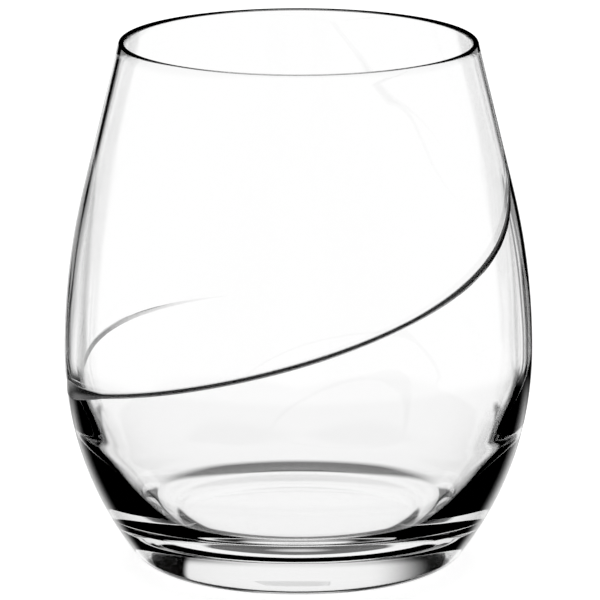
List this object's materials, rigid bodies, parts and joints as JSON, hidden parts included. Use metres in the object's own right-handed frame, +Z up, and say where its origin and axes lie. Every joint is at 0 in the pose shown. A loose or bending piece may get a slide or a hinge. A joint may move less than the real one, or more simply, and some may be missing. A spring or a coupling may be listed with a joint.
{
  "type": "stemless wine glass",
  "caption": "Clear stemless wine glass with a heavy rounded base, a bowl drawn in to a fine lip and a spiral line cut round its outside; holds a drink and stands on a table.",
  "frame": {"origin": "middle of the foot, on the plane that the glass stands on", "axes": "+Z up along the axis of the glass, towards its mouth; -Y is the side seen from the front, +X is to its right"},
  "size_m": [0.0917, 0.0916, 0.104],
  "materials": {
    "clear_glass": "fire-polished, clear and colourless, with one fine cut line left satin"
  },
  "bodies": {
    "root": {"base": "clear_glass", "bowl": "clear_glass", "rim": "clear_glass"}
  },
  "joints": []
}
